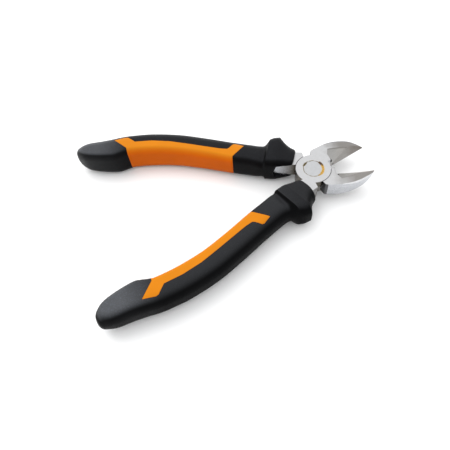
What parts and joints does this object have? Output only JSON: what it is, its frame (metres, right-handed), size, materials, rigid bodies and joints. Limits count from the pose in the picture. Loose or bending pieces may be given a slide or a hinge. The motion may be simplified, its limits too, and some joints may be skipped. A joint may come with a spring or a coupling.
{
  "type": "diagonal cutting pliers",
  "caption": "Diagonal cutting pliers with a riveted lap joint, bevelled jaws, curved two-component grips and front finger guards.",
  "frame": {"origin": "on the pivot axis, in the flat outer face of the joint that faces down when the tool lies flat", "axes": "+X from the pivot toward the jaws along the line midway between the two handles at rest, +Y toward the rear half's handle, +Z along the pivot axis up through the joint"},
  "size_m": [0.1504, 0.108, 0.0168],
  "materials": {
    "steel": "fine satin ground and polished tool steel",
    "rivet_steel": "ground flush with the boss, with a film of oil around it",
    "orange_core": "smooth satin orange hard plastic",
    "black_cover": "soft overmould with a fine matte grain"
  },
  "bodies": {
    "rear": {"rear_half": "steel", "pivot_rivet": "rivet_steel", "rear_grip_core": "orange_core", "rear_grip_cover": "black_cover"},
    "front": {"front_half": "steel", "front_grip_core": "orange_core", "front_grip_cover": "black_cover"}
  },
  "joints": [
    {"name": "pivot", "type": "hinge", "parent": "rear", "child": "front", "pos_m": [0, 0, 0], "axis": [0, 0, 1], "range_deg": [-28, 18]}
  ]
}
